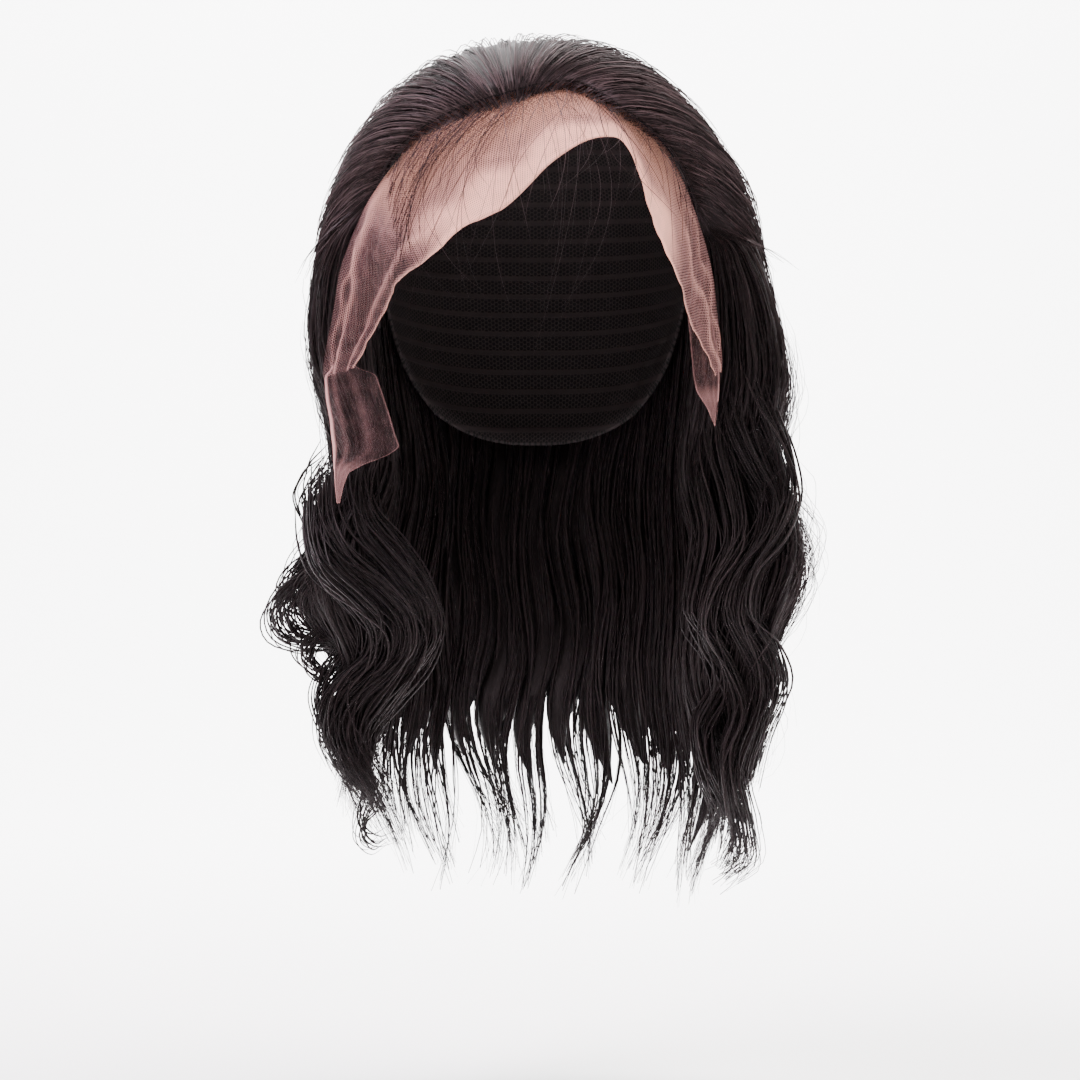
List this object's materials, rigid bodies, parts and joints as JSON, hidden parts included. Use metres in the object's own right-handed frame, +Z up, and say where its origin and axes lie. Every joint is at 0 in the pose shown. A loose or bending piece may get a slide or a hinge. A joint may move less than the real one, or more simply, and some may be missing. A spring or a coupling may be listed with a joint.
{
  "type": "lace front wig",
  "caption": "Long body wave lace front wig in near-black brown, swept back from uncut front lace with loose ear tabs.",
  "frame": {"origin": "inside of the cap's crown, where the top of the wearer's head meets it", "axes": "+X to the viewer's right, the face looks towards -Y, +Z up"},
  "size_m": [0.2662, 0.2303, 0.4373],
  "materials": {
    "hair": "glossy dark brown hair",
    "lace": "sheer pale lace",
    "net": "matt stretch net"
  },
  "bodies": {
    "root": {"cap": "net", "lace_front": "lace", "ear_tab_left": "lace", "ear_tab_right": "lace", "crown_left": "hair", "crown_top": "hair", "crown_right": "hair", "hair_left_front": "hair", "hair_left_side": "hair", "hair_left_back": "hair", "hair_back": "hair", "hair_right_back": "hair", "hair_right_side": "hair", "hair_right_front": "hair"}
  },
  "joints": []
}
